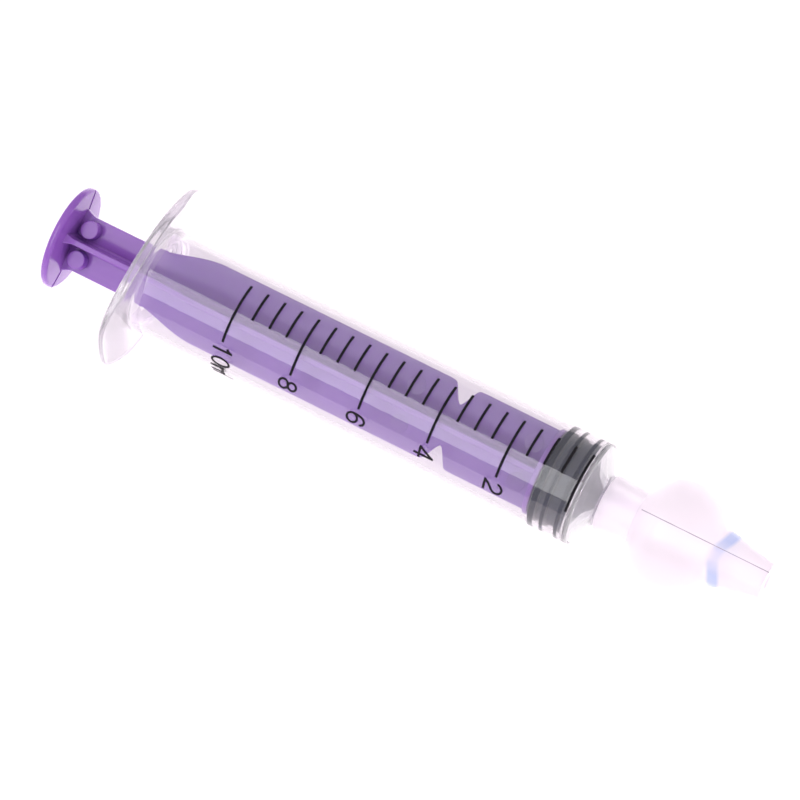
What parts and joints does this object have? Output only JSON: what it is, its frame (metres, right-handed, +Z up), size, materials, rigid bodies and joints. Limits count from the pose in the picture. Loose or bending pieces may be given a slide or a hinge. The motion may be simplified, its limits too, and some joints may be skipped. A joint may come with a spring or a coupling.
{
  "type": "oral syringe",
  "caption": "Clear syringe barrel with finger flange and printed scale, purple plunger rod, grey rubber stopper and a soft clear nasal tip on its nozzle.",
  "frame": {"origin": "on the table, under the middle of the syringe's bounding box", "axes": "+X along the axis toward the nose, +Z up, the finger flange's long axis along Y"},
  "size_m": [0.1212, 0.0302, 0.0212],
  "materials": {
    "clear_plastic": "clear, glossy, faintly lavender",
    "purple_plastic": "semi-gloss moulded",
    "grey_rubber": "dark grey, satin",
    "clear_silicone": "clear, soft, slightly cloudy",
    "black_ink": "printed ink"
  },
  "bodies": {
    "barrel": {"barrel": "clear_plastic", "scale_tick_0_0_ml": "black_ink", "scale_tick_0_5_ml": "black_ink", "scale_tick_1_0_ml": "black_ink", "scale_tick_1_5_ml": "black_ink", "scale_tick_2_0_ml": "black_ink", "scale_tick_2_5_ml": "black_ink", "scale_tick_3_0_ml": "black_ink", "scale_tick_3_5_ml": "black_ink", "scale_tick_4_0_ml": "black_ink", "scale_tick_4_5_ml": "black_ink", "scale_tick_5_0_ml": "black_ink", "scale_tick_5_5_ml": "black_ink", "scale_tick_6_0_ml": "black_ink", "scale_tick_6_5_ml": "black_ink", "scale_tick_7_0_ml": "black_ink", "scale_tick_7_5_ml": "black_ink", "scale_tick_8_0_ml": "black_ink", "scale_tick_8_5_ml": "black_ink", "scale_tick_9_0_ml": "black_ink", "scale_tick_9_5_ml": "black_ink", "scale_tick_10_0_ml": "black_ink", "scale_figure_2": "black_ink", "scale_figure_4": "black_ink", "scale_figure_6": "black_ink", "scale_figure_8": "black_ink", "scale_figure_10ml_1": "black_ink", "scale_figure_10ml_0": "black_ink", "scale_figure_10ml_m": "black_ink", "scale_figure_10ml_l": "black_ink"},
    "stopper": {"stopper": "grey_rubber"},
    "plunger": {"plunger_rod": "purple_plastic"},
    "nasal_tip": {"nasal_tip": "clear_silicone"}
  },
  "joints": [
    {"name": "plunger_slide", "type": "slide", "parent": "barrel", "child": "stopper", "axis": [-1, 0, 0], "range_m": [0, 0.0655]},
    {"name": "plunger_spin", "type": "hinge", "parent": "stopper", "child": "plunger", "pos_m": [0, 0, 0.0106], "axis": [1, 0, 0], "continuous": true},
    {"name": "tip_pull_off", "type": "slide", "parent": "barrel", "child": "nasal_tip", "axis": [1, 0, 0], "range_m": [0, 0.012]}
  ]
}
